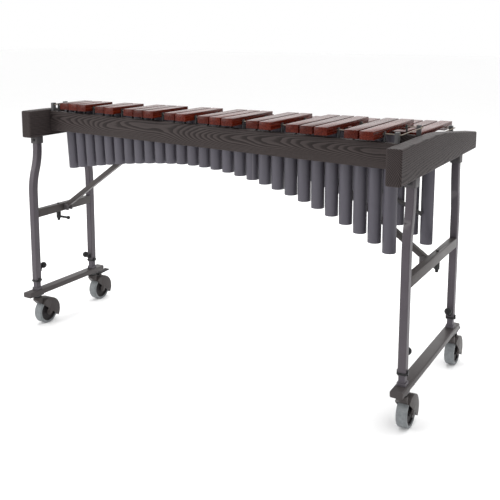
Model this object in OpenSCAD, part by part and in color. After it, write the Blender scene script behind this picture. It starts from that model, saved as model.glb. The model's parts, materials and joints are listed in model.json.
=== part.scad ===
// Four-octave concert xylophone on a height-adjustable stand with swivel casters.
// The audience is on the -Y side, the player on the +Y side, the low notes at +X.
// The origin is on the floor, under the middle of the two wooden end blocks.

/* [Note bars] */
// Distance from one natural bar to the next
bar_pitch = 44; // [43.5:0.5:45]
// Width of every bar
bar_width = 36; // [35:0.5:39]
// Thickness of every bar
bar_thickness = 21; // [19:0.5:22]
// Height of the natural bars' playing face
natural_top = 756; // [754:1:758]
// Height of the accidental bars' playing face
accidental_top = 792; // [790:1:796]
// Front end of the lowest natural bar
natural_front_low = 6; // [4:1:8]
// Front end of the highest natural bar
natural_front_high = -7; // [-9:1:-5]
// Back end of the lowest natural bar
natural_back_low = 331; // [326:1:334]
// Back end of the highest natural bar
natural_back_high = 118; // [114:1:122]
// How far the middle bars' back ends stay inside the straight line
natural_back_bow = 8; // [0:1:12]
// Front end of the lowest accidental bar
accidental_front_low = -304; // [-308:1:-300]
// Front end of the highest accidental bar
accidental_front_high = -115; // [-119:1:-112]
// Back end of the lowest accidental bar
accidental_back_low = 13; // [10:1:15]
// Back end of the highest accidental bar
accidental_back_high = -4; // [-6:1:-2]
// Deepest tuning arch under the lowest bar
arch_depth_low = 9; // [5:1:10]
// Deepest tuning arch under the highest bar
arch_depth_high = 4; // [2:1:5]

/* [Bar cords and posts] */
// Diameter of the suspension cord
cord_d = 3; // [2.5:0.25:3.5]
// Diameter of the holes that the cord runs through
cord_hole_d = 4.6; // [4.2:0.2:5]
// Height of the cord over a bar's underside
cord_lift = 9; // [8.5:0.5:9.5]
// Thickness of the posts between the bars
post_thickness = 2.4; // [2:0.2:2.8]
// Width of the posts between the bars
post_width = 10; // [9:1:10]
// Width of the square posts at the rails' ends
end_post_width = 14; // [12:1:16]

/* [Wooden frame] */
// Length of the rails between the end blocks
rail_length = 1320; // [1318:1:1326]
// Thickness of an end block
block_thickness = 40; // [36:1:44]
// Height of the blocks' underside
block_bottom = 673; // [670:1:675]
// Height of the blocks' top at the front
block_top = 764; // [760:1:766]
// Front and back faces of the low block are this far from the middle
low_block_reach = 362; // [356:1:366]
// Height of the low block's top at the back
low_block_back_top = 725; // [723:1:730]
// Front face of the high block
high_block_front = -180; // [-184:1:-176]
// Back face of the high block
high_block_back = 173; // [168:1:178]
// Height of the high block's top at the back
high_block_back_top = 738; // [730:1:742]
// Thickness of the front and back boards
board_thickness = 18; // [16:1:18]
// Underside of the front board
front_board_bottom = 691; // [686:1:696]
// Thickness of the two inner rails
inner_rail_thickness = 10; // [9:1:11]

/* [Resonators] */
// Outer diameter of a resonator tube
tube_d = 38; // [36:0.5:38]
// Wall of a resonator tube
tube_wall = 1.6; // [1.2:0.2:2]
// Height of the highest tube ends, in the middle of the row
tube_crest = 618; // [610:1:622]
// Top of the natural tubes
natural_tube_top = 728; // [724:1:730]
// Top of the accidental tubes
accidental_tube_top = 764; // [760:1:765]

/* [Stand] */
// Width of a leg tube, along the instrument
leg_width = 22; // [21:1:23]
// Depth of a leg tube, across the instrument
leg_depth = 24; // [23:1:25]
// Height of the leg tubes' lower end
leg_bottom = 160; // [158:1:166]
// Height where the legs start to bow inwards
bow_start = 480; // [470:5:500]
// Height where the legs are upright again
bow_end = 636; // [630:2:640]
// Middle height of the crossbars between the legs
crossbar_height = 404; // [398:1:410]
// Height of the base beams' underside
beam_bottom = 114; // [114:1:116]
// Width of a base beam
beam_width = 35; // [33:1:36]
// Height of a base beam's section
beam_height = 18; // [17:1:20]
// Where the braces meet the frame, from the middle
brace_reach = 256; // [250:1:262]

/* [Casters] */
// Radius of a caster wheel
wheel_r = 43; // [42:0.5:43.5]
// Width of a wheel's tread
tread_width = 30; // [28:1:31]
// Distance from the swivel axis back to the axle
trail = 38; // [36:1:39]

/* [Hidden] */
$fn = 48;
naturals = 29;
low_x = bar_pitch * (naturals - 1) / 2 - 5;
half_rail = rail_length / 2;
block_x = half_rail + block_thickness / 2;
natural_under = natural_top - bar_thickness;
accidental_under = accidental_top - bar_thickness;
bar_gap = 13;
natural_rail_top = natural_under - bar_gap;
accidental_rail_top = accidental_under - bar_gap;
natural_cord_z = natural_under + cord_lift;
accidental_cord_z = accidental_under + cord_lift;
cord_end_x = half_rail - 4;
low_end_post_x = half_rail - 15;
high_end_post_x = -half_rail + 11;
end_post_length = 10;
// centre lines of the rails, cords and tube rows, each as its place at the low and the high end
board_line = [-236, -75];
accidental_inner_line = [-60, -17.4];
natural_inner_line = [81, 19];
back_board_line = [264, 85];
natural_tube_line = [164, 50];
accidental_tube_line = [-120, -44];
accidental_strip_line = [-98.5, -16.8];
accidental_inner_bottom = accidental_rail_top - 38;
natural_inner_bottom = natural_rail_top - 36;
back_board_bottom = natural_rail_top - 42;
low_tube_lean = 1;
high_tube_lean = 4;
stop_thickness = 4;
strip_thickness = 3;
strip_bottom = 690;
strip_height = 22;
tube_gap = 0.6;
strip_end_x = half_rail - 5;
tie_start_note = 4.2;
tie_slope = 26;
leg_r = 3;
inner_leg_width = 17.4;
inner_leg_depth = 19.4;
inner_leg_top = 400;
bore_width = 18;
bore_depth = 20;
bore_top = 430;
socket_height = 24;
socket_wall = 4;
crossbar_width = 22;
crossbar_tall = 28;
brace_size = 16;
brace_y = -12;
// each leg as [side, lower place, upper place]; side 1 is the low end, -1 the high end
low_front_leg = [1, -238, -218];
low_back_leg = [1, 216, 203];
high_front_leg = [-1, -157, -130];
high_back_leg = [-1, 131, 115];
LEGS = [low_front_leg, low_back_leg, high_front_leg, high_back_leg];
low_beam_span = [-285, 263];
high_beam_span = [-205, 178];
swivel_top = beam_bottom - 10;
swivel_gap = 0.3;
running_gap = 0.06;
stem_r = 5;
axle_r = 4;
hood_r = wheel_r + 6;
hood_inner_r = wheel_r + 2.5;
hood_width = tread_width + 10;
hood_inner_width = tread_width + 4;
core_r = wheel_r - 8;
neck_r = 16;
hood_slant = 40;
hood_lift = 8;
core_width = tread_width - 4;
pedal_y = trail - 6;
pedal_z = wheel_r + 54.5;
pedal_length = 52;
pedal_width = 20;
knob_height_front = 198;
knob_height_back = 180;
lever_y = [40, -38];

// ---- rules that place the notes ----

// along the row: note 0 is the lowest natural, accidentals lie at halves
function note_x(note) = low_x - bar_pitch * note;
function blend(low, high, share) = low + (high - low) * share;
function note_share(note) = note / (naturals - 1);
function line_y(line, x) = blend(line[0], line[1], (half_rail - x) / rail_length);
function line_angle(line) = atan2(line[0] - line[1], rail_length);
function is_sharp(step) = let(tone = step % 7) tone != 2 && tone != 6;
function natural_front(note) = blend(natural_front_low, natural_front_high, note_share(note));
function natural_back(note) = let(share = note_share(note))
  blend(natural_back_low, natural_back_high, share) - natural_back_bow * 4 * share * (1 - share);
function accidental_front(note) =
  blend(accidental_front_low, accidental_front_high, note_share(note));
function accidental_back(note) = blend(accidental_back_low, accidental_back_high, note_share(note));
function arch_depth(note) = blend(arch_depth_low, arch_depth_high, note_share(note));

// the tube ends rise in a parabola from the low end and fall again towards the high end
function tube_end(note, fall) = let(crest_note = 16)
  note < crest_note ? tube_crest - fall * pow(crest_note - note, 2)
  : tube_crest - 1.55 * pow(note - crest_note, 1.5);
natural_fall = 0.845;
accidental_fall = 0.745;
function tube_lean(note) = blend(low_tube_lean, high_tube_lean, note_share(note));

// ---- shared shapes ----

// rectangle with true round corners
module round_section(width, depth, r) {
  square([width - 2 * r, depth], center = true);
  square([width, depth - 2 * r], center = true);
  for (sx = [-1, 1], sy = [-1, 1])
    translate([sx * (width / 2 - r), sy * (depth / 2 - r)]) circle(r);
}

// upright tube section, solid, from one height to another
module upright(x, y, bottom, top, width, depth, r) {
  translate([x, y, bottom]) linear_extrude(top - bottom) round_section(width, depth, r);
}

// straight board between the end blocks, along a slanted line
module slanted_board(line, thickness, bottom, top, end_x = half_rail) {
  half = thickness / 2;
  translate([0, 0, bottom]) linear_extrude(top - bottom)
    polygon([[end_x, line_y(line, end_x) - half], [end_x, line_y(line, end_x) + half],
      [-end_x, line_y(line, -end_x) + half], [-end_x, line_y(line, -end_x) - half]]);
}

// round rod along a slanted line, used for the cords and for the holes they run through
module line_rod(line, z, d, end_x = half_rail) {
  start = line_y(line, end_x);
  run = norm([2 * end_x, start - line_y(line, -end_x)]);
  translate([end_x, start, z]) rotate([0, 0, line_angle(line)]) rotate([0, -90, 0])
    cylinder(d = d, h = run);
}

// one note bar with its tuning arch cut from below
module note_bar(note, front, back, top) {
  span = (back - front) * 0.5;
  depth = arch_depth(note);
  arch_r = span * span / (8 * depth) + depth / 2;
  translate([note_x(note) - bar_width / 2, 0, 0]) difference() {
    translate([0, front, top - bar_thickness]) cube([bar_width, back - front, bar_thickness]);
    translate([-1, (front + back) / 2, top - bar_thickness + depth - arch_r])
      rotate([0, 90, 0]) cylinder(r = arch_r, h = bar_width + 2, $fn = 96);
  }
}

module natural_bars(first, last) {
  difference() {
    for (note = [first : last])
      note_bar(note, natural_front(note), natural_back(note), natural_top);
    line_rod(natural_inner_line, natural_cord_z, cord_hole_d);
    line_rod(back_board_line, natural_cord_z, cord_hole_d);
  }
}

module accidental_bars(first, last) {
  difference() {
    for (step = [first : last]) if (is_sharp(step))
      note_bar(step + 0.5, accidental_front(step + 0.5), accidental_back(step + 0.5),
        accidental_top);
    line_rod(board_line, accidental_cord_z, cord_hole_d);
    line_rod(accidental_inner_line, accidental_cord_z, cord_hole_d);
  }
}

function unit(v) = v / norm(v);
function outward(from, to) = let(run = unit(to - from)) [run[1], -run[0]];

// closed cord loop: out along one line, across, back along the other, with mitred corners
module cord_loop(front_line, back_line, z) {
  sides = 8;
  near = cord_end_x;
  far = -cord_end_x;
  corners = [[near, line_y(front_line, near)], [near, line_y(back_line, near)],
    [far, line_y(back_line, far)], [far, line_y(front_line, far)]];
  count = len(corners);
  points = [for (k = [0 : count - 1])
    let(face_before = outward(corners[(k + count - 1) % count], corners[k]),
      face_after = outward(corners[k], corners[(k + 1) % count]),
      miter = unit(face_before + face_after),
      reach = cord_d / 2 / (miter * face_before))
    for (j = [0 : sides - 1]) let(angle = 360 * j / sides)
      [corners[k][0] + miter[0] * reach * cos(angle),
       corners[k][1] + miter[1] * reach * cos(angle), z + cord_d / 2 * sin(angle)]];
  faces = [for (k = [0 : count - 1], j = [0 : sides - 1])
    let(next_k = (k + 1) % count, next_j = (j + 1) % sides)
      [k * sides + j, k * sides + next_j, next_k * sides + next_j, next_k * sides + j]];
  polyhedron(points, faces);
}

// one flat post between two bars, standing on a rail
module bar_post(x, line, rail_top, cord_z) {
  translate([x - post_thickness / 2, line_y(line, x) - post_width / 2, rail_top])
    cube([post_thickness, post_width, cord_z - rail_top + 5]);
}

module end_post(x, line, rail_top, cord_z) {
  translate([x - end_post_length / 2, line_y(line, x) - end_post_width / 2, rail_top])
    cube([end_post_length, end_post_width, cord_z - rail_top + 6]);
}

// side outline of an end block: level at the front, then sloping down to the back
module block_outline(front, back, back_top) {
  bend_start = -90;
  bend_end = 60;
  bend_middle = (bend_start + bend_end) / 2;
  slope = (block_top - back_top) / (back - bend_middle);
  bend_steps = 8;
  bend = [for (k = [0 : bend_steps]) let(share = k / bend_steps)
    [blend(bend_start, bend_end, share),
     block_top - slope * (bend_end - bend_start) * share * share / 2]];
  polygon(concat([[front, block_bottom], [front, block_top]], bend,
    [[back, back_top], [back, block_bottom]]));
}

module end_block(side, front, back, back_top) {
  corner_r = 7;
  intersection() {
    translate([side * block_x - block_thickness / 2, 0, 0]) rotate([90, 0, 90])
      linear_extrude(block_thickness) block_outline(front, back, back_top);
    translate([side * block_x, (front + back) / 2, block_bottom - 1])
      linear_extrude(block_top) round_section(block_thickness, back - front, corner_r);
  }
}

// hollow resonator tube hung from its top, leaning so that its lower end goes to +Y
module tube(note, line, top, end, lean) {
  x = note_x(note);
  translate([x, line_y(line, x), top]) rotate([lean, 0, 0]) mirror([0, 0, 1]) difference() {
    cylinder(d = tube_d, h = top - end);
    translate([0, 0, -1]) cylinder(d = tube_d - 2 * tube_wall, h = top - end + 2);
  }
}

module tube_stop(note, line, top, end, lean) {
  x = note_x(note);
  stop_inset = 3;
  translate([x, line_y(line, x), top]) rotate([lean, 0, 0]) mirror([0, 0, 1])
    translate([0, 0, top - end - stop_inset - stop_thickness])
      cylinder(d = tube_d - 2 * tube_wall - 0.1, h = stop_thickness);
}

module natural_tubes(first, last) {
  for (note = [first : last])
    tube(note, natural_tube_line, natural_tube_top, tube_end(note, natural_fall), 0);
}

module accidental_tubes(first, last) {
  for (step = [first : last]) let(note = step + 0.5)
    tube(note, accidental_tube_line, accidental_tube_top, tube_end(note, accidental_fall),
      tube_lean(note));
}

function shifted(line, by) = [line[0] + by, line[1] + by];
strip_offset = tube_d / 2 + tube_gap + strip_thickness / 2;
natural_front_strip = shifted(natural_tube_line, -strip_offset);
natural_back_strip = shifted(natural_tube_line, strip_offset);

module bank_strip(line) {
  slanted_board(line, strip_thickness, strip_bottom, strip_bottom + strip_height, strip_end_x);
}

// small round rivet head on the outer face of a strip
module rivet(note, line, side) {
  head_r = 3.5;
  head_h = 1.5;
  x = note_x(note);
  translate([x, line_y(line, x) + side * strip_thickness / 2, strip_bottom + strip_height / 2])
    rotate([0, 0, line_angle(line)]) rotate([-90 * side, 0, 0]) cylinder(r = head_r, h = head_h);
}

// end plate that carries one strip on an end block
module hanger(side, line) {
  reach = 4.5;
  lap = 5;
  y = line_y(line, side * strip_end_x);
  translate([side > 0 ? strip_end_x : -half_rail, y - reach, strip_bottom - lap])
    cube([half_rail - strip_end_x, 2 * reach, strip_height + 2 * lap]);
}

// quarter-turn piece of the leg's bow, around an axis along X
module bow_piece(x, y, z, r, angle, flip_y, flip_z) {
  translate([x, y, z]) mirror([0, flip_y, 0]) mirror([0, 0, flip_z]) rotate([90, 0, 90])
    rotate_extrude(angle = angle, $fn = 96) translate([r, 0])
      round_section(leg_depth, leg_width, leg_r);
}

// leg tube: straight below, a gentle bow inwards, straight again in its socket
module leg(place, knob_side, knob_height) {
  x = place[0] * block_x;
  foot = place[1];
  head = place[2];
  shift = abs(head - foot);
  rise = bow_end - bow_start;
  angle = 2 * atan(shift / rise);
  r = rise / (2 * sin(angle));
  to_back = head > foot;
  way = to_back ? 1 : -1;
  difference() {
    union() {
      upright(x, foot, leg_bottom, bow_start, leg_width, leg_depth, leg_r);
      bow_piece(x, foot + way * r, bow_start, r, angle, to_back ? 1 : 0, 0);
      bow_piece(x, head - way * r, bow_end, r, angle, to_back ? 0 : 1, 1);
      upright(x, head, bow_end, block_bottom, leg_width, leg_depth, leg_r);
    }
    upright(x, foot, leg_bottom - 1, bore_top, bore_width, bore_depth, 1.5);
    translate([x, foot, knob_height]) rotate([-90 * knob_side, 0, 0])
      cylinder(r = knob_stem_r + running_gap, h = leg_depth);
  }
}
knob_stem_r = 3.5;

module leg_socket(place) {
  size = 2 * socket_wall;
  difference() {
    upright(place[0] * block_x, place[2], block_bottom - socket_height, block_bottom,
      leg_width + size, leg_depth + size, socket_wall);
    upright(place[0] * block_x, place[2], block_bottom - socket_height - 1, block_bottom + 1,
      leg_width, leg_depth, leg_r);
  }
}

module socket_bolt(place) {
  head_r = 5;
  head_h = 4;
  out = place[1] < 0 ? -1 : 1;
  translate([place[0] * block_x, place[2] + out * (leg_depth / 2 + socket_wall),
    block_bottom - socket_height / 2]) rotate([-90 * out, 0, 0]) cylinder(r = head_r, h = head_h);
}

// plastic collar around the lower end of a leg tube, with a latch tab on each side
module leg_collar(place) {
  collar_height = 5;
  collar_wall = 2;
  tab = [4, 8, 13];
  x = place[0] * block_x;
  difference() {
    union() {
      upright(x, place[1], leg_bottom + 3, leg_bottom + 3 + collar_height,
        leg_width + 2 * collar_wall, leg_depth + 2 * collar_wall, leg_r + 1);
      for (side = [-1, 1])
        translate([x + side * (leg_width / 2 + tab[0] / 2), place[1], leg_bottom + tab[2] / 2])
          cube(tab, center = true);
    }
    upright(x, place[1], leg_bottom - 1, leg_bottom + 20, leg_width, leg_depth, leg_r);
  }
}

// locking knob: a hub in the leg's wall, an arm bent upwards and a ball
module leg_knob(place, side, height) {
  hub_r = 7;
  hub_length = 6;
  ball_r = 11;
  arm_reach = 20;
  face = leg_depth / 2;
  translate([place[0] * block_x, place[1], height]) rotate([-90 * side, 0, 0]) {
    translate([0, 0, face - 1.8]) cylinder(r = knob_stem_r, h = 3);
    translate([0, 0, face + swivel_gap]) cylinder(r = hub_r, h = hub_length);
    translate([0, 0, face + hub_length / 2]) rotate([side * 35, 0, 0])
      cylinder(r = 4, h = arm_reach);
    translate([0, 0, face + hub_length / 2]) rotate([side * 35, 0, 0])
      translate([0, 0, arm_reach + 3]) sphere(r = ball_r);
  }
}

module crossbar(side, front_leg, back_leg, hole_y) {
  front = front_leg[1] + leg_depth / 2;
  back = back_leg[1] - leg_depth / 2;
  x = side * block_x;
  difference() {
    translate([x, front, crossbar_height]) rotate([-90, 0, 0])
      linear_extrude(back - front) round_section(crossbar_width, crossbar_tall, 2);
    translate([x, hole_y, crossbar_height - crossbar_tall])
      cylinder(r = axle_r + running_gap, h = 2 * crossbar_tall);
  }
}

spreader_bottom = accidental_inner_bottom - 22;

// brace from the crossbar's inner face up to the spreader, ends cut to meet them
module brace(side) {
  foot_x = block_x - crossbar_width / 2;
  rise = spreader_bottom - crossbar_height;
  run = foot_x - brace_reach;
  long = norm([rise, run]);
  half_v = brace_size / 2 * long / run;
  half_h = brace_size / 2 * long / rise;
  translate([0, brace_y + brace_size / 2, 0]) rotate([90, 0, 0]) linear_extrude(brace_size)
    polygon([[side * foot_x, crossbar_height - half_v], [side * foot_x, crossbar_height + half_v],
      [side * (brace_reach + half_h), spreader_bottom],
      [side * (brace_reach - half_h), spreader_bottom]]);
}

// two ears on the crossbar's inner face, beside the brace's foot
module brace_bracket(side) {
  ear = [22, 3, 22];
  for (edge = [-1, 1])
    translate([side * (block_x - crossbar_width / 2 - ear[0] / 2),
      brace_y + edge * (brace_size + ear[1]) / 2, crossbar_height])
      cube(ear, center = true);
}

// cam lever under a crossbar: screw, boss and a handle ending in a ball
module clamp_lever(side, y) {
  boss_r = 8;
  boss_height = 24;
  handle_r = 4;
  handle_length = 46;
  ball_r = 6.5;
  under = crossbar_height - crossbar_tall / 2;
  translate([side * block_x, y, under]) {
    translate([0, 0, -1]) cylinder(r = axle_r, h = crossbar_tall + 4);
    translate([0, 0, -boss_height - swivel_gap]) cylinder(r = boss_r, h = boss_height);
    translate([0, 0, -boss_height + 5]) rotate([0, -90 * side, 0]) {
      cylinder(r = handle_r, h = handle_length);
      translate([0, 0, handle_length]) sphere(r = ball_r);
    }
    translate([0, 0, -boss_height - 9]) cylinder(r = 5, h = 10);
  }
}

module beam(side, span) {
  wall = 2;
  plug_depth = 6;
  middle = beam_bottom + beam_height / 2;
  translate([side * block_x, span[0], middle]) rotate([-90, 0, 0]) {
    linear_extrude(span[1] - span[0]) difference() {
      round_section(beam_width, beam_height, 4);
      round_section(beam_width - 2 * wall, beam_height - 2 * wall, 2);
    }
    for (start = [0, span[1] - span[0] - plug_depth])
      translate([0, 0, start]) linear_extrude(plug_depth)
        round_section(beam_width - 2 * wall, beam_height - 2 * wall, 2);
  }
}

// sliding leg with the welded collar it stands on
module inner_leg(place) {
  foot = beam_bottom + beam_height;
  x = place[0] * block_x;
  upright(x, place[1], foot, inner_leg_top, inner_leg_width, inner_leg_depth, 1.2);
  upright(x, place[1], foot, foot + 9, inner_leg_width + 7, inner_leg_depth + 7, 3);
}

// plate and swivel stem under a beam
module caster_mount(place) {
  plate = 32;
  bearing_r = 13;
  translate([place[0] * block_x, place[1], 0]) {
    translate([-plate / 2, -plate / 2, beam_bottom - 3]) cube([plate, plate, 3]);
    translate([0, 0, swivel_top]) cylinder(r = bearing_r, h = beam_bottom - 3 - swivel_top);
    translate([0, 0, swivel_top - 8]) cylinder(r = stem_r, h = 9);
  }
}

// puts a caster piece under its leg
module at_caster(place) {
  translate([place[0] * block_x, place[1], 0]) children();
}

module across(r, width) {
  rotate([0, 90, 0]) translate([0, 0, -width / 2]) cylinder(r = r, h = width);
}

// caster fork: a hood behind a slanted opening, a neck above it and the axle bolt; a braked fork
// has ears for the pedal
module fork(place, braked) {
  boss_r = 13;
  room = 3 * wheel_r;
  at_caster(place) {
    difference() {
      union() {
        intersection() {
          union() {
            translate([0, trail, wheel_r]) across(hood_r, hood_width);
            cylinder(r = neck_r, h = swivel_top - swivel_gap);
          }
          translate([-hood_width, trail, wheel_r + hood_lift]) rotate([-hood_slant, 0, 0])
            translate([0, -room, 0]) cube([2 * hood_width, 2 * room, room]);
        }
        translate([0, trail, wheel_r]) across(boss_r, hood_width);
        if (braked) for (ear = [-1, 1])
          translate([ear * (pedal_width / 2 + 2.5), pedal_y, pedal_z - 5])
            cube([3, 11, 18], center = true);
      }
      translate([0, trail, wheel_r]) across(hood_inner_r, hood_inner_width);
      translate([0, trail, wheel_r]) across(axle_r + 0.02, hood_width + 2);
      translate([0, 0, swivel_top - 9]) cylinder(r = stem_r + running_gap, h = 12);
      if (braked) translate([0, pedal_y, pedal_z]) across(2 + 0.02, pedal_width + 20);
    }
    translate([0, trail, wheel_r]) {
      across(axle_r, hood_width);
      for (end = [-1, 1]) translate([end * (hood_width / 2 + 1), 0, 0]) across(7, 2);
    }
    if (braked) translate([0, pedal_y, pedal_z]) across(2, pedal_width + 10);
  }
}

module wheel(place) {
  hub_r = 12;
  dish = 4;
  at_caster(place) translate([0, trail, wheel_r]) difference() {
    across(core_r, core_width);
    across(axle_r + running_gap, core_width + 2);
    for (side = [-1, 1]) translate([side * (core_width / 2), 0, 0]) difference() {
      across(core_r - 5, 2 * dish);
      across(hub_r, 2 * dish + 2);
    }
  }
}

module tread(place) {
  shoulder = 4;
  depth = wheel_r - core_r;
  at_caster(place) translate([0, trail, wheel_r]) rotate([0, 90, 0])
    rotate_extrude($fn = 96) {
      translate([core_r, -tread_width / 2]) square([depth - shoulder, tread_width]);
      translate([core_r, -tread_width / 2 + shoulder])
        square([depth, tread_width - 2 * shoulder]);
      for (side = [-1, 1])
        translate([wheel_r - shoulder, side * (tread_width / 2 - shoulder)]) circle(shoulder);
    }
}

// foot pedal that rocks on its pin behind the swivel
module brake_pedal(place) {
  hub_r = 3.6;
  plate_h = 4;
  rise = 4;
  at_caster(place) translate([0, pedal_y, pedal_z]) difference() {
    union() {
      across(hub_r, pedal_width);
      rotate([rise, 0, 0]) translate([-pedal_width / 2, 0, 0])
        cube([pedal_width, pedal_length, plate_h]);
      rotate([rise, 0, 0]) translate([0, pedal_length, plate_h / 2])
        across(plate_h, pedal_width);
    }
    across(2 + running_gap, pedal_width + 2);
  }
}

// ---- sub-parts ----

module end_block_low() {
  color("#4a4340") end_block(1, -low_block_reach, low_block_reach, low_block_back_top);
}
module end_block_high() {
  color("#4a4340") end_block(-1, high_block_front, high_block_back, high_block_back_top);
}
module front_board() {
  color("#4d4542") slanted_board(board_line, board_thickness, front_board_bottom,
    accidental_rail_top);
}
module accidental_inner_rail() {
  color("#453d3a") slanted_board(accidental_inner_line, inner_rail_thickness,
    accidental_inner_bottom, accidental_rail_top);
}
module natural_inner_rail() {
  color("#453d3a") slanted_board(natural_inner_line, inner_rail_thickness,
    natural_inner_bottom, natural_rail_top);
}
module back_board() {
  color("#4d4542") slanted_board(back_board_line, board_thickness, back_board_bottom,
    natural_rail_top);
}
module rail_spreaders() {
  half = 18;
  edge = inner_rail_thickness / 2;
  color("#453d3a") translate([0, 0, spreader_bottom])
    linear_extrude(accidental_inner_bottom - spreader_bottom)
      for (x = [-brace_reach, brace_reach])
        polygon([for (end = [[x - half, 0], [x + half, 0], [x + half, 1], [x - half, 1]])
          [end[0], end[1] == 0 ? line_y(accidental_inner_line, end[0]) - edge
            : line_y(natural_inner_line, end[0]) - edge]]);
}
module natural_bars_low() { color("#7a3422") natural_bars(0, 14); }
module natural_bars_high() { color("#7a3422") natural_bars(15, 28); }
module accidental_bars_low() { color("#84382a") accidental_bars(0, 13); }
module accidental_bars_high() { color("#84382a") accidental_bars(14, 27); }
module natural_cord() {
  color("#d8cfc4") cord_loop(natural_inner_line, back_board_line, natural_cord_z);
}
module accidental_cord() {
  color("#d8cfc4") cord_loop(board_line, accidental_inner_line, accidental_cord_z);
}
module bar_posts() {
  color("#2b2b2b") {
    for (line = [natural_inner_line, back_board_line]) difference() {
      for (step = [0 : naturals - 2])
        bar_post(note_x(step + 0.5), line, natural_rail_top, natural_cord_z);
      line_rod(line, natural_cord_z, cord_d + 0.4);
    }
    for (line = [board_line, accidental_inner_line]) difference() {
      for (step = [0 : naturals - 1]) if (is_sharp(step) || (step > 0 && is_sharp(step - 1)))
        bar_post(note_x(step), line, accidental_rail_top, accidental_cord_z);
      line_rod(line, accidental_cord_z, cord_d + 0.4);
    }
  }
}
module cord_end_posts() {
  color("#76756f") {
    for (line = [natural_inner_line, back_board_line]) difference() {
      for (x = [low_end_post_x, high_end_post_x])
        end_post(x, line, natural_rail_top, natural_cord_z);
      line_rod(line, natural_cord_z, cord_d + 0.4);
    }
    for (line = [board_line, accidental_inner_line]) difference() {
      for (x = [low_end_post_x, high_end_post_x])
        end_post(x, line, accidental_rail_top, accidental_cord_z);
      line_rod(line, accidental_cord_z, cord_d + 0.4);
    }
  }
}
module natural_tubes_low() { color("#5f5b64") natural_tubes(0, 14); }
module natural_tubes_high() { color("#5f5b64") natural_tubes(15, 28); }
module accidental_tubes_low() { color("#66626c") accidental_tubes(0, 13); }
module accidental_tubes_high() { color("#66626c") accidental_tubes(14, 27); }
module tube_stops() {
  color("#55525a") {
    for (note = [0 : naturals - 1]) tube_stop(note, natural_tube_line, natural_tube_top,
      tube_end(note, natural_fall), 0);
    for (step = [0 : naturals - 2]) tube_stop(step + 0.5, accidental_tube_line,
      accidental_tube_top, tube_end(step + 0.5, accidental_fall), tube_lean(step + 0.5));
  }
}
module natural_bank_strips() {
  tie_note = tie_start_note / 2;
  tie_length = bar_pitch * tie_start_note;
  tie_height = 536;
  color("#3c3a40") {
    bank_strip(natural_front_strip);
    bank_strip(natural_back_strip);
    translate([note_x(tie_note), line_y(natural_front_strip, note_x(tie_note)), tie_height])
      rotate([0, 0, line_angle(natural_tube_line)]) rotate([0, tie_slope, 0])
        cube([tie_length, strip_thickness, 12], center = true);
  }
}
module accidental_bank_strip() { color("#3c3a40") bank_strip(accidental_strip_line); }
module bank_rivets() {
  color("#8d8c92") {
    for (note = [0 : naturals - 1]) {
      rivet(note, natural_front_strip, -1);
      rivet(note, natural_back_strip, 1);
    }
    for (step = [0 : naturals - 2]) rivet(step + 0.5, accidental_strip_line, 1);
  }
}
module bank_hangers() {
  color("#2f2e31") for (side = [-1, 1],
    line = [natural_front_strip, natural_back_strip, accidental_strip_line]) hanger(side, line);
}
module leg_sockets() { color("#4a484b") for (place = LEGS) leg_socket(place); }
module socket_bolts() { color("#1d1d1f") for (place = LEGS) socket_bolt(place); }
module leg_low_front() { color("#625d62") leg(low_front_leg, 1, knob_height_front); }
module leg_low_back() { color("#625d62") leg(low_back_leg, -1, knob_height_back); }
module leg_high_front() { color("#625d62") leg(high_front_leg, 1, knob_height_front); }
module leg_high_back() { color("#625d62") leg(high_back_leg, -1, knob_height_back); }
module crossbars() {
  color("#57524f") {
    crossbar(1, low_front_leg, low_back_leg, lever_y[0]);
    crossbar(-1, high_front_leg, high_back_leg, lever_y[1]);
  }
}
module braces() { color("#474447") for (side = [-1, 1]) brace(side); }
module brace_brackets() { color("#333134") for (side = [-1, 1]) brace_bracket(side); }
module leg_collars() { color("#1a1a1b") for (place = LEGS) leg_collar(place); }
module clamp_lever_low() { color("#232223") clamp_lever(1, lever_y[0]); }
module clamp_lever_high() { color("#232223") clamp_lever(-1, lever_y[1]); }
module leg_knob_low_front() { color("#1b1b1c") leg_knob(low_front_leg, 1, knob_height_front); }
module leg_knob_low_back() { color("#1b1b1c") leg_knob(low_back_leg, -1, knob_height_back); }
module leg_knob_high_front() { color("#1b1b1c") leg_knob(high_front_leg, 1, knob_height_front); }
module leg_knob_high_back() { color("#1b1b1c") leg_knob(high_back_leg, -1, knob_height_back); }
module beam_low() { color("#5a5455") beam(1, low_beam_span); }
module beam_high() { color("#5a5455") beam(-1, high_beam_span); }
module inner_legs_low() {
  color("#6a666c") for (place = [low_front_leg, low_back_leg]) inner_leg(place);
}
module inner_legs_high() {
  color("#6a666c") for (place = [high_front_leg, high_back_leg]) inner_leg(place);
}
module caster_mounts_low() {
  color("#2a292b") for (place = [low_front_leg, low_back_leg]) caster_mount(place);
}
module caster_mounts_high() {
  color("#2a292b") for (place = [high_front_leg, high_back_leg]) caster_mount(place);
}
module fork_low_front() { color("#474344") fork(low_front_leg, false); }
module fork_low_back() { color("#474344") fork(low_back_leg, true); }
module fork_high_front() { color("#474344") fork(high_front_leg, false); }
module fork_high_back() { color("#474344") fork(high_back_leg, true); }
module wheel_low_front() { color("#393536") wheel(low_front_leg); }
module wheel_low_back() { color("#393536") wheel(low_back_leg); }
module wheel_high_front() { color("#393536") wheel(high_front_leg); }
module wheel_high_back() { color("#393536") wheel(high_back_leg); }
module tread_low_front() { color("#8b8f92") tread(low_front_leg); }
module tread_low_back() { color("#8b8f92") tread(low_back_leg); }
module tread_high_front() { color("#8b8f92") tread(high_front_leg); }
module tread_high_back() { color("#8b8f92") tread(high_back_leg); }
module brake_pedal_low() { color("#3b393a") brake_pedal(low_back_leg); }
module brake_pedal_high() { color("#3b393a") brake_pedal(high_back_leg); }

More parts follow.
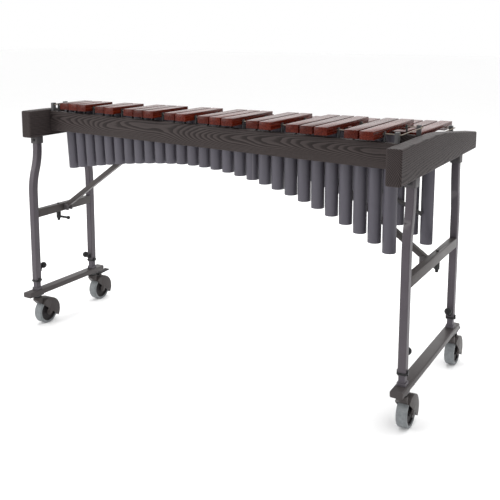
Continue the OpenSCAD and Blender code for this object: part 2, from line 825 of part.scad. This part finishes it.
end_block_low();
end_block_high();
front_board();
accidental_inner_rail();
natural_inner_rail();
back_board();
rail_spreaders();
natural_bars_low();
natural_bars_high();
accidental_bars_low();
accidental_bars_high();
natural_cord();
accidental_cord();
bar_posts();
cord_end_posts();
natural_tubes_low();
natural_tubes_high();
accidental_tubes_low();
accidental_tubes_high();
tube_stops();
natural_bank_strips();
accidental_bank_strip();
bank_rivets();
bank_hangers();
leg_sockets();
socket_bolts();
leg_low_front();
leg_low_back();
leg_high_front();
leg_high_back();
crossbars();
braces();
brace_brackets();
leg_collars();
clamp_lever_low();
clamp_lever_high();
leg_knob_low_front();
leg_knob_low_back();
leg_knob_high_front();
leg_knob_high_back();
beam_low();
beam_high();
inner_legs_low();
inner_legs_high();
caster_mounts_low();
caster_mounts_high();
fork_low_front();
fork_low_back();
fork_high_front();
fork_high_back();
wheel_low_front();
wheel_low_back();
wheel_high_front();
wheel_high_back();
tread_low_front();
tread_low_back();
tread_high_front();
tread_high_back();
brake_pedal_low();
brake_pedal_high();
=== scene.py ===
import json
import math

import bmesh
import bpy
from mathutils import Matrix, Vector


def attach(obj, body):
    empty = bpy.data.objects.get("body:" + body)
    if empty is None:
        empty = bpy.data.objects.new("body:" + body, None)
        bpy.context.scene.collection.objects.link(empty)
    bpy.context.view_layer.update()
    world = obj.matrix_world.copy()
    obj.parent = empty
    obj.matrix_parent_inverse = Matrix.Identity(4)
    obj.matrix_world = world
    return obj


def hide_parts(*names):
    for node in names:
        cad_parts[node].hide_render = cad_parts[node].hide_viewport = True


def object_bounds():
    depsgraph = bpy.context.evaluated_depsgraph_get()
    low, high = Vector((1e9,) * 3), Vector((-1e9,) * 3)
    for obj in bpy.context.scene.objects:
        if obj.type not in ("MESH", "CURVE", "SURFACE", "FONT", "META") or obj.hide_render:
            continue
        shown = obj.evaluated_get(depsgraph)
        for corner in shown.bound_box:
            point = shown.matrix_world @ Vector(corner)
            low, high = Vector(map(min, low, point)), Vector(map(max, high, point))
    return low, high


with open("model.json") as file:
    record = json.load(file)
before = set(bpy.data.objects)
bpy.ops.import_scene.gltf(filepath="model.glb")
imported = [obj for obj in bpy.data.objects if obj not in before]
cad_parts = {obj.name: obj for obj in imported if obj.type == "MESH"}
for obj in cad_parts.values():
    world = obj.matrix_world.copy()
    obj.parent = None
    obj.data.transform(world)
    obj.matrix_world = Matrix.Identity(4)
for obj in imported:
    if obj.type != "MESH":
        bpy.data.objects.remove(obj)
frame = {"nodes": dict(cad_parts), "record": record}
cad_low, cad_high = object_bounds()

MM = 0.001
QUARTER_TURN = math.pi / 2
nodes = frame["nodes"]
record = frame["record"]
body_of_node = {node: body for body, members in record["behaviour"]["bodies"].items()
                for node in members}
slot_of_node = {row["node"]: row["material_slot"] for row in record["subparts"]}


# ---- material building ----

class Surface:
    """A material and short ways to add nodes to it."""

    def __init__(self, name):
        self.material = bpy.data.materials.new(name)
        self.material.use_nodes = True
        self.tree = self.material.node_tree
        self.shader = self.tree.nodes["Principled BSDF"]
        self.coords = self.node("ShaderNodeTexCoord").outputs["Object"]

    def node(self, kind, inputs=None, **settings):
        made = self.tree.nodes.new(kind)
        for key, value in settings.items():
            setattr(made, key, value)
        for key, value in (inputs or {}).items():
            self.put(made.inputs[key], value)
        return made

    def put(self, socket, value):
        if isinstance(value, bpy.types.NodeSocket):
            self.tree.links.new(value, socket)
        else:
            socket.default_value = value

    def math(self, operation, a, b=0.0, c=0.0):
        return self.node("ShaderNodeMath", {0: a, 1: b, 2: c}, operation=operation).outputs[0]

    def noise(self, vector, scale, detail=2.0, rough=0.5):
        made = self.node("ShaderNodeTexNoise", {"Vector": vector, "Scale": scale,
                                                "Detail": detail, "Roughness": rough})
        return made.outputs["Fac"]

    def stretch(self, vector, scale, turn=(0, 0, 0)):
        made = self.node("ShaderNodeMapping", {"Vector": vector, "Rotation": turn, "Scale": scale})
        return made.outputs[0]

    def ramp(self, value, stops):
        """The colour or grey between stops, each a place from 0 to 1 and its colour or grey."""
        made = self.node("ShaderNodeValToRGB", {"Fac": value})
        marks = made.color_ramp.elements
        while len(marks) < len(stops):
            marks.new(0.5)
        for mark, (place, tone) in zip(marks, stops):
            mark.position = place
            mark.color = (tone, tone, tone, 1) if isinstance(tone, (int, float)) else (*tone, 1)
        return made.outputs[0]

    def mix(self, share, a, b, blend="MIX"):
        made = self.node("ShaderNodeMix", data_type="RGBA", blend_type=blend)
        for socket, value in ((made.inputs[0], share), (made.inputs[6], a), (made.inputs[7], b)):
            if isinstance(value, tuple) and len(value) == 3:
                value = (*value, 1)
            self.put(socket, value)
        return made.outputs[2]

    def vary(self, value, spread, lowest):
        """The value, from 0 to 1, as a factor from lowest to lowest + spread."""
        return self.math("MULTIPLY_ADD", value, spread, lowest)

    def times(self, a, b):
        return self.math("MULTIPLY", a, b)

    def tinted(self, colour, tone):
        return self.mix(1.0, colour, tone, "MULTIPLY")

    def attribute(self, name):
        return self.node("ShaderNodeAttribute", attribute_name=name).outputs["Fac"]

    def edges(self):
        """Near 1 on convex edges and 0 elsewhere."""
        point = self.node("ShaderNodeNewGeometry").outputs["Pointiness"]
        return self.ramp(point, [(0.52, 0.0), (0.60, 1.0)])

    def bump(self, height, depth, strength):
        return self.node("ShaderNodeBump", {"Height": height, "Distance": depth,
                                            "Strength": strength}).outputs[0]

    def finish(self, colour, rough, normal=None, **fixed):
        """The material with these inputs; fixed values go on the shader's own sockets."""
        self.put(self.shader.inputs["Base Color"], colour)
        self.put(self.shader.inputs["Roughness"], rough)
        if normal is not None:
            self.put(self.shader.inputs["Normal"], normal)
        for key, value in fixed.items():
            self.shader.inputs[key.replace("_", " ")].default_value = value
        return self.material


def growth_rings(s, base, pith, tilt, ring):
    """Near 1 in the early wood of each growth ring round a pith line that leans."""
    sway = 0.022
    drift = s.noise(s.stretch(base, (2.2, 7, 7)), 1.0, 2.0)
    drift = s.vary(drift, sway, -sway / 2)
    along, side, height = s.node("ShaderNodeSeparateXYZ", {0: base}).outputs
    across = s.math("ADD", s.vary(along, tilt, -pith[0]), side)
    across = s.math("ADD", across, drift)
    up = s.math("SUBTRACT", height, pith[1])
    up = s.math("ADD", up, s.times(drift, 0.6))
    radius = s.math("SQRT", s.math("ADD", s.times(across, across), s.times(up, up)))
    wobble = s.noise(s.stretch(base, (5, 60, 60)), 1.0, 2.0)
    rings = s.math("ADD", s.math("DIVIDE", radius, ring), s.times(wobble, 1.3))
    return s.ramp(s.math("FRACT", rings),
                  [(0.0, 1.0), (0.30, 0.85), (0.55, 0.1), (0.92, 0.0), (1.0, 1.0)])


def open_grain_wood(name, turn, pith, tilt, ring=0.0015):
    """Dark stained ash: growth rings round a pith line, open pores and soft streaks.

    turn aligns the grain with the board, pith is the middle of the rings across and up, and
    tilt is how much the pith leans. ring is the distance from one ring to the next."""
    late_wood, early_wood = (0.050, 0.0405, 0.0400), (0.0160, 0.0127, 0.0127)
    pore_colour, rubbed_colour = (0.008, 0.006, 0.0055), (0.09, 0.075, 0.068)
    s = Surface(name)
    base = s.stretch(s.coords, (1, 1, 1), turn=turn)
    early = growth_rings(s, base, pith, tilt, ring)
    fibre = s.noise(s.stretch(base, (14, 900, 900)), 1.0, 3.0, 0.6)
    pores = s.noise(s.stretch(base, (60, 1500, 1500)), 1.0, 1.0)
    pores = s.ramp(pores, [(0.55, 0.0), (0.68, 1.0)])
    pores = s.times(pores, s.vary(early, 0.8, 0.2))
    patch = s.noise(s.stretch(base, (3, 12, 12)), 1.0, 3.0)
    colour = s.mix(early, late_wood, early_wood)
    colour = s.tinted(colour, s.times(s.vary(fibre, 0.55, 0.70), s.vary(patch, 0.5, 0.76)))
    colour = s.mix(s.times(pores, 0.75), colour, pore_colour)
    colour = s.mix(s.times(s.edges(), 0.25), colour, rubbed_colour)
    rough = s.math("ADD", s.vary(pores, 0.25, 0.42), s.times(fibre, 0.10))
    height = s.math("SUBTRACT", s.times(fibre, 0.35), pores)
    return s.finish(colour, rough, s.bump(height, 0.4 * MM, 0.5), Specular_IOR_Level=0.06)


def bar_wood():
    """Oiled red-brown tonewood: fine dark streaks along each bar, every bar a little different."""
    streak_colours = [(0.25, (0.020, 0.0018, 0.0007)), (0.42, (0.044, 0.0040, 0.0012)),
                      (0.58, (0.066, 0.0066, 0.0018)), (0.75, (0.092, 0.0120, 0.0032))]
    pore_colour = (0.030, 0.006, 0.005)
    s = Surface("tonewood")
    own = s.attribute("piece_tone")
    offset = s.node("ShaderNodeCombineXYZ", {0: s.times(own, 3.7), 1: s.times(own, 1.9),
                                             2: s.times(own, 2.3)}).outputs[0]
    base = s.node("ShaderNodeVectorMath", {0: s.coords, 1: offset}, operation="ADD").outputs[0]
    bend = s.noise(s.stretch(base, (6, 2.2, 6)), 1.0, 2.0)
    bent = s.node("ShaderNodeCombineXYZ", {0: s.vary(bend, 0.02, -0.01)}).outputs[0]
    base = s.node("ShaderNodeVectorMath", {0: base, 1: bent}, operation="ADD").outputs[0]
    streak = s.noise(s.stretch(base, (300, 3.0, 260)), 1.0, 4.0, 0.6)
    fine = s.noise(s.stretch(base, (900, 18, 900)), 1.0, 2.0)
    pores = s.noise(s.stretch(base, (1500, 70, 1500)), 1.0, 1.0)
    pores = s.ramp(pores, [(0.6, 0.0), (0.72, 1.0)])
    colour = s.ramp(streak, streak_colours)
    colour = s.tinted(colour, s.times(s.vary(own, 0.5, 0.78), s.vary(fine, 0.5, 0.75)))
    colour = s.mix(s.times(pores, 0.7), colour, pore_colour)
    rough = s.math("ADD", s.vary(streak, 0.14, 0.20), s.times(pores, 0.2))
    height = s.math("SUBTRACT", s.times(fine, 0.3), pores)
    return s.finish(colour, rough, s.bump(height, 0.2 * MM, 0.5), Specular_IOR_Level=0.12)


def painted_metal(name, colour, rough=0.42, metallic=0.0):
    """Powder coat: fine orange peel, faint blotches and slightly rubbed edges."""
    rubbed_colour = (0.2, 0.19, 0.19)
    s = Surface(name)
    peel = s.noise(s.coords, 2600, 2.0)
    blotch = s.noise(s.coords, 22.0, 3.0)
    dust = s.noise(s.coords, 240.0, 2.0)
    paint = s.tinted(colour, s.times(s.vary(blotch, 0.30, 0.85), s.vary(dust, 0.16, 0.92)))
    paint = s.mix(s.times(s.edges(), 0.30), paint, rubbed_colour)
    return s.finish(paint, s.vary(blotch, 0.14, rough - 0.07), s.bump(peel, 0.12 * MM, 0.35),
                    Metallic=metallic, Specular_IOR_Level=0.18)


def tube_metal():
    """Satin anthracite tube: fine drawing lines along it and soft handling marks."""
    anthracite, rubbed_colour = (0.060, 0.056, 0.070), (0.20, 0.19, 0.21)
    s = Surface("tube_satin")
    own = s.attribute("piece_tone")
    draw = s.noise(s.stretch(s.coords, (1400, 1400, 6)), 1.0, 2.0)
    mark = s.noise(s.stretch(s.coords, (26, 26, 9)), 1.0, 4.0, 0.6)
    tone = s.times(s.vary(draw, 0.22, 0.89), s.vary(mark, 0.24, 0.88))
    tone = s.times(tone, s.vary(own, 0.16, 0.92))
    colour = s.mix(s.times(s.edges(), 0.4), s.tinted(anthracite, tone), rubbed_colour)
    return s.finish(colour, s.vary(mark, 0.18, 0.36), s.bump(draw, 0.06 * MM, 0.35),
                    Metallic=0.15, Specular_IOR_Level=0.2)


def moulded_plastic(name, colour, rough=0.5, grain=1800):
    """Moulded plastic: fine spark texture, slight mottling and rubbed edges."""
    rubbed_by = 0.06
    s = Surface(name)
    spark = s.noise(s.coords, grain, 2.0)
    mottle = s.noise(s.coords, 60.0, 3.0)
    paint = s.tinted(colour, s.vary(mottle, 0.34, 0.83))
    rubbed_colour = tuple(channel + rubbed_by for channel in colour)
    paint = s.mix(s.times(s.edges(), 0.3), paint, rubbed_colour)
    return s.finish(paint, s.vary(mottle, 0.16, rough - 0.08), s.bump(spark, 0.15 * MM, 0.4),
                    Specular_IOR_Level=0.15)


def wheel_rubber():
    """Grey tread, scuffed by rolling."""
    s = Surface("tread_rubber")
    scuff = s.noise(s.coords, 90.0, 5.0, 0.65)
    fine = s.noise(s.coords, 900.0, 2.0)
    colour = s.ramp(scuff, [(0.3, (0.105, 0.115, 0.120)), (0.5, (0.145, 0.156, 0.162)),
                            (0.72, (0.19, 0.20, 0.205))])
    return s.finish(colour, s.vary(scuff, 0.25, 0.38), s.bump(fine, 0.15 * MM, 0.5))


def braid():
    """Pale braided cord."""
    s = Surface("braid")
    weave = s.node("ShaderNodeTexVoronoi", {"Vector": s.stretch(s.coords, (700, 700, 700)),
                                            "Scale": 1.0}).outputs["Distance"]
    colour = s.ramp(weave, [(0.0, (0.26, 0.22, 0.18)), (0.6, (0.15, 0.125, 0.10))])
    return s.finish(colour, 0.8, s.bump(weave, 0.3 * MM, 0.8))


def bright_metal(name, colour):
    """Bare metal fastener: turned lines and light tarnish."""
    s = Surface(name)
    line = s.noise(s.coords, 1500.0, 2.0)
    stain = s.noise(s.coords, 80.0, 3.0)
    paint = s.tinted(colour, s.vary(stain, 0.4, 0.8))
    return s.finish(paint, s.vary(stain, 0.2, 0.2), s.bump(line, 0.1 * MM, 0.3), Metallic=0.9)


# the turns line the grain up with the slanted front and back boards
FRONT_TURN, BACK_TURN = (0, 0, 0.1214), (0, 0, -0.1347)
BLOCK_WOOD = {"turn": (0, 0, QUARTER_TURN), "tilt": 0.045, "ring": 0.0040}
BLACK_GRIP = {"rough": 0.42, "grain": 1200}
LOOKS = {
    "stained_ash": open_grain_wood("ash_front_board", FRONT_TURN, (-0.094, 0.732), 0.035),
    "ash_back": open_grain_wood("ash_back_boards", BACK_TURN, (0.22, 0.70), 0.03),
    "ash_block_low": open_grain_wood("ash_block_low", pith=(0.640, 0.66), **BLOCK_WOOD),
    "ash_block_high": open_grain_wood("ash_block_high", pith=(-0.640, 0.67), **BLOCK_WOOD),
    "rosewood": bar_wood(),
    "bar_cord": braid(),
    "post_black": moulded_plastic("post_black", (0.020, 0.020, 0.021), 0.45),
    "post_grey": painted_metal("post_grey", (0.030, 0.030, 0.032), 0.45, 0.2),
    "tube_anthracite": tube_metal(),
    "tube_stop": painted_metal("stop_grey", (0.10, 0.095, 0.11), 0.5),
    "bank_metal": painted_metal("bank_black", (0.018, 0.017, 0.019), 0.45),
    "rivet_metal": bright_metal("rivet_metal", (0.42, 0.42, 0.44)),
    "black_fastener": painted_metal("black_oxide", (0.018, 0.018, 0.019), 0.38, 0.4),
    "bracket_paint": painted_metal("bracket_paint", (0.040, 0.036, 0.039), 0.45),
    "leg_paint": painted_metal("leg_paint", (0.068, 0.059, 0.068), 0.40, 0.1),
    "inner_leg_paint": painted_metal("inner_leg_paint", (0.072, 0.064, 0.075), 0.38, 0.15),
    "bar_paint": painted_metal("bar_paint", (0.040, 0.034, 0.033), 0.42, 0.1),
    "beam_paint": painted_metal("beam_paint", (0.040, 0.034, 0.034), 0.42, 0.1),
    "knob_plastic": moulded_plastic("knob_black", (0.014, 0.014, 0.015), **BLACK_GRIP),
    "lever_black": moulded_plastic("lever_black", (0.015, 0.015, 0.016), **BLACK_GRIP),
    "collar_plastic": moulded_plastic("collar_black", (0.012, 0.012, 0.013), 0.45),
    "caster_steel": painted_metal("caster_steel", (0.045, 0.044, 0.045), 0.4, 0.5),
    "caster_hood": moulded_plastic("hood_grey", (0.040, 0.034, 0.033), 0.42),
    "wheel_core": moulded_plastic("core_grey", (0.020, 0.018, 0.019), 0.48),
    "wheel_tread": wheel_rubber(),
    "brake_plastic": moulded_plastic("pedal_grey", (0.024, 0.021, 0.022), 0.45),
}


# ---- mesh building ----

def loose_parts(bm):
    """The connected groups of vertices, ordered along the instrument."""
    bm.verts.ensure_lookup_table()
    seen, groups = set(), []
    for start in bm.verts:
        if start.index in seen:
            continue
        stack, group = [start], []
        seen.add(start.index)
        while stack:
            vert = stack.pop()
            group.append(vert)
            for edge in vert.link_edges:
                other = edge.other_vert(vert)
                if other.index not in seen:
                    seen.add(other.index)
                    stack.append(other)
        groups.append(group)
    return sorted(groups, key=lambda g: (round(sum(v.co.x for v in g) / len(g), 4),
                                         sum(v.co.y for v in g) / len(g)))


def part_tone(index):
    """A value from 0 to 1 that differs widely from one part to the next."""
    golden_ratio, first = 0.618034, 0.31
    return (first + index * golden_ratio) % 1.0


def softened(node, edge, segments, look):
    """A piece with the CAD node's own shape, its hard edges rounded and each part toned apart."""
    same_place, flat, hard, shaded_sharp = 0.01 * MM, 0.5, 38, 32
    bm = bmesh.new()
    bm.from_mesh(nodes[node].data)
    bmesh.ops.remove_doubles(bm, verts=bm.verts, dist=same_place)
    bmesh.ops.dissolve_limit(bm, angle_limit=math.radians(flat), verts=bm.verts, edges=bm.edges)
    hard_edges = [e for e in bm.edges
                  if len(e.link_faces) == 2 and e.calc_face_angle(0) > math.radians(hard)]
    bmesh.ops.bevel(bm, geom=hard_edges, offset=edge * MM, segments=segments, profile=0.5,
                    affect="EDGES", clamp_overlap=True)
    tone = bm.verts.layers.float.new("piece_tone")
    for index, group in enumerate(loose_parts(bm)):
        for vert in group:
            vert[tone] = part_tone(index)
    mesh = bpy.data.meshes.new(node + ".mesh")
    bm.to_mesh(mesh)
    bm.free()
    mesh.shade_smooth()
    mesh.set_sharp_from_angle(angle=math.radians(shaded_sharp))
    mesh.materials.clear()
    mesh.materials.append(LOOKS[look])
    piece = bpy.data.objects.new(node + ".piece", mesh)
    bpy.context.scene.collection.objects.link(piece)
    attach(piece, body_of_node[node])
    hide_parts(node)


# width of the rounded edges in mm, and the number of facets across them
BAR_EDGE, OTHER_EDGE, OTHER_SEGMENTS = 1.0, 0.35, 2
EDGES = {
    "end_block_low": 4.5, "end_block_high": 4.5, "front_board": 2.2, "back_board": 2.2,
    "accidental_inner_rail": 1.2, "natural_inner_rail": 1.2, "rail_spreaders": 1.0,
}
SEGMENTS = {"end_block_low": 5, "end_block_high": 5, "front_board": 3, "back_board": 3}
# wooden nodes whose grain differs from their slot's usual look
WOOD_LOOKS = {
    "end_block_low": "ash_block_low", "end_block_high": "ash_block_high",
    "back_board": "ash_back", "natural_inner_rail": "ash_back", "rail_spreaders": "ash_back",
}
for name in nodes:
    usual_edge = BAR_EDGE if "_bars_" in name else OTHER_EDGE
    softened(name, EDGES.get(name, usual_edge), SEGMENTS.get(name, OTHER_SEGMENTS),
             WOOD_LOOKS.get(name, slot_of_node[name]))


# ---- floor, light and camera ----

def floor():
    """One flat floor in two halves: each rides on the base at its end, so that the casters always
    stand on it when the stand is extended."""
    size, below = 30.0, 0.2 * MM
    s = Surface("pale_floor")
    tone = s.vary(s.noise(s.coords, 3.0, 3.0), 0.015, 0.975)
    look = s.finish(s.tinted((1.0, 1.0, 1.0), tone), 0.7)
    for half, body, near, far in (("low", "base_low", 0, size), ("high", "base_high", -size, 0)):
        mesh = bpy.data.meshes.new("floor_" + half + ".mesh")
        mesh.from_pydata([(near, -size, 0), (far, -size, 0), (far, size, 0), (near, size, 0)],
                         [], [(0, 1, 2, 3)])
        mesh.materials.append(look)
        ground = bpy.data.objects.new("floor_" + half, mesh)
        bpy.context.scene.collection.objects.link(ground)
        ground.location.z = cad_low.z - below
        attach(ground, body)


def area_light(name, place, target, size, power):
    light = bpy.data.lights.new(name, "AREA")
    light.shape = "RECTANGLE"
    light.size, light.size_y = size
    light.energy = power
    lamp = bpy.data.objects.new(name, light)
    lamp.location = place
    lamp.rotation_euler = (Vector(target) - Vector(place)).to_track_quat("-Z", "Y").to_euler()
    lamp.visible_camera = False
    bpy.context.scene.collection.objects.link(lamp)


def light():
    world = bpy.data.worlds.new("studio")
    world.use_nodes = True
    world.node_tree.nodes["Background"].inputs["Color"].default_value = (1, 1, 1, 1)
    bpy.context.scene.world = world
    area_light("top_soft", (0.2, 0.6, 3.2), target=(0, 0, 0.3), size=(4.5, 3.0), power=90)
    area_light("front_soft", (-2.4, -3.2, 1.5), target=(0, 0, 0.5), size=(1.6, 1.6), power=60)
    area_light("back_soft", (-1.6, 4.4, 2.3), target=(0, 0, 0.7), size=(5.0, 1.8), power=28)


def camera():
    """The photograph's camera: its lens is given in pixels of a frame 500 pixels wide."""
    lens_px, frame_px, sensor = 775.0, 500.0, 36.0
    yaw, pitch, roll = 29.59, -8.80, 0.10
    data = bpy.data.cameras.new("camera")
    data.sensor_width = sensor
    data.lens = lens_px * sensor / frame_px
    data.shift_y = -0.20
    cam = bpy.data.objects.new("camera", data)
    cam.location = (1.267, -2.071, 1.036)
    cam.rotation_euler = (math.radians(90 + pitch), math.radians(-roll), math.radians(yaw))
    bpy.context.scene.collection.objects.link(cam)
    bpy.context.scene.camera = cam


bpy.context.scene.view_settings.view_transform = "Standard"
floor()
light()
camera()
